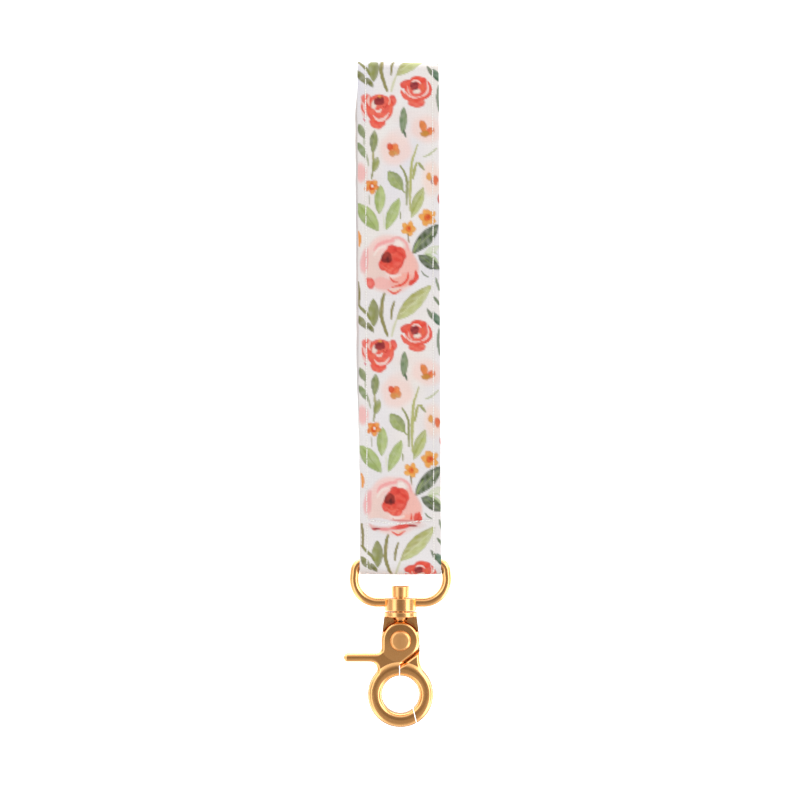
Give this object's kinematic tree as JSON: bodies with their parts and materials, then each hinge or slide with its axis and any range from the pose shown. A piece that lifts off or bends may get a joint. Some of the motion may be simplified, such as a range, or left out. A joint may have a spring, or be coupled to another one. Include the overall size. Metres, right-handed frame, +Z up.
{
  "type": "wristlet keychain",
  "caption": "Folded floral fabric wrist strap sewn round the D-loop of a gold swivel snap hook with a side thumb trigger.",
  "frame": {"origin": "inside of the strap's top fold, mid width, where a finger or peg would hold it", "axes": "+Z up along the strap, +Y from the printed front face to the back, +X to the right seen from the front"},
  "size_m": [0.0336, 0.0114, 0.2078],
  "materials": {
    "printed_cotton": "matte",
    "interfacing": "matte",
    "white_thread": "matte",
    "gold_plate": "polished",
    "spring_steel": "satin"
  },
  "bodies": {
    "strap": {"printed_cover": "printed_cotton", "stiffening_core": "interfacing", "edge_stitch_left": "white_thread", "edge_stitch_right": "white_thread", "cross_stitch": "white_thread"},
    "loop": {"swivel_loop": "gold_plate"},
    "hook": {"hook_body": "gold_plate", "swivel_rivet": "gold_plate", "pivot_rivet": "gold_plate", "torsion_spring": "spring_steel"},
    "trigger": {"trigger_jaw": "gold_plate"}
  },
  "joints": [
    {"name": "loop_swing", "type": "hinge", "parent": "strap", "child": "loop", "pos_m": [0, 0, -0.1549], "axis": [1, 0, 0], "range_deg": [-75, 75]},
    {"name": "hook_swivel", "type": "hinge", "parent": "loop", "child": "hook", "pos_m": [0, 0, -0.168], "axis": [0, 0, 1], "continuous": true},
    {"name": "trigger_swing", "type": "hinge", "parent": "hook", "child": "trigger", "pos_m": [0, 0, -0.1791], "axis": [0, 1, 0], "range_deg": [0, 28], "stiffness_Nm_per_rad": 0.06, "springref_deg": -28.65}
  ]
}
